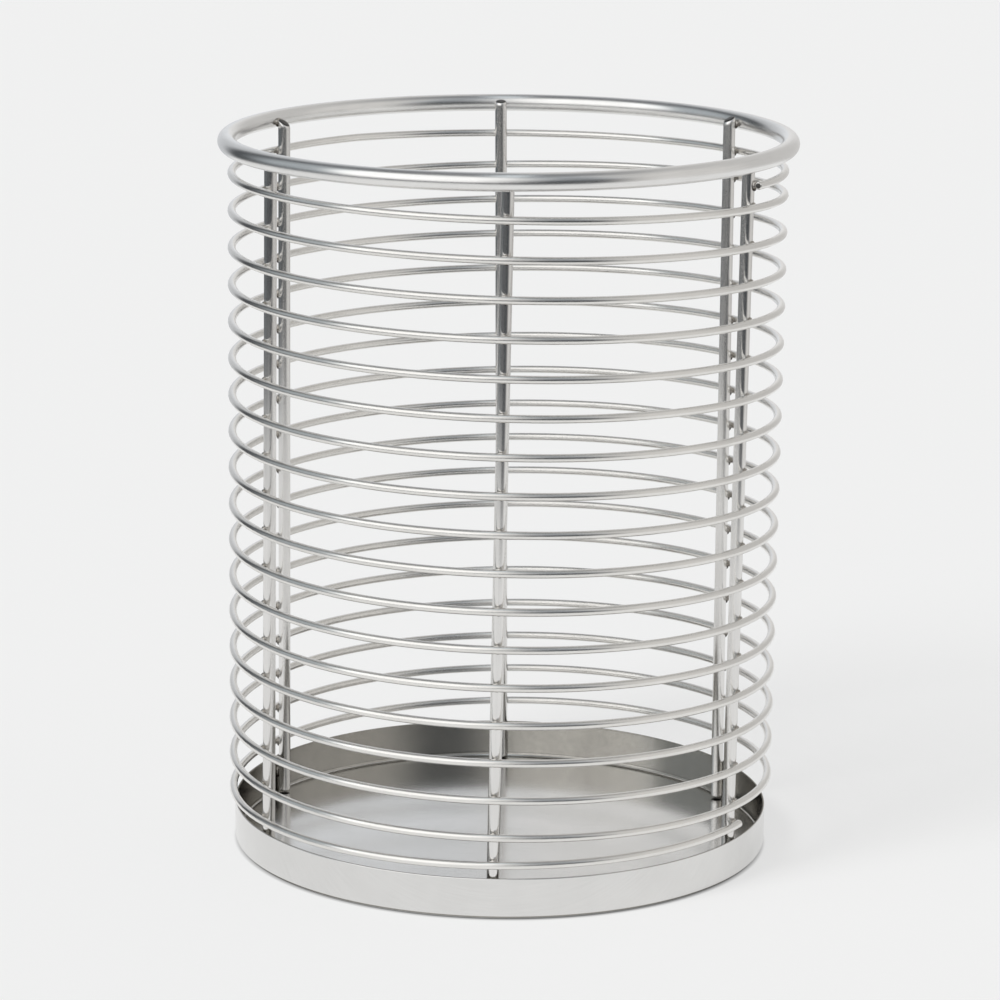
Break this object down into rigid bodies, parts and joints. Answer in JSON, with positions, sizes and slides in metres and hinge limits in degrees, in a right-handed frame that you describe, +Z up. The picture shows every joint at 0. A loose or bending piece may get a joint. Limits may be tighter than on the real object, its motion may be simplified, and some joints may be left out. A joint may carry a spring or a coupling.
{
  "type": "wire utensil holder",
  "caption": "Round open-topped kitchen utensil holder: upright rods inside a wound thin wire, a thick rim ring on top and a shallow sheet-steel pan below.",
  "frame": {"origin": "on the table under the centre of the base pan", "axes": "+Z up through the open top, -Y towards the pictured front, +X to the right of that front"},
  "size_m": [0.13, 0.13, 0.1657],
  "materials": {
    "pan_steel": "satin drawn stainless sheet, soft mirror on the floor",
    "rim_steel": "satin stainless wire",
    "rod_steel": "satin drawn stainless wire",
    "coil_steel": "satin drawn stainless wire"
  },
  "bodies": {
    "root": {"base_pan": "pan_steel", "rim_ring": "rim_steel", "upright_rod_1": "rod_steel", "upright_rod_2": "rod_steel", "upright_rod_3": "rod_steel", "upright_rod_4": "rod_steel", "upright_rod_5": "rod_steel", "upright_rod_6": "rod_steel", "coil_wire": "coil_steel"}
  },
  "joints": []
}
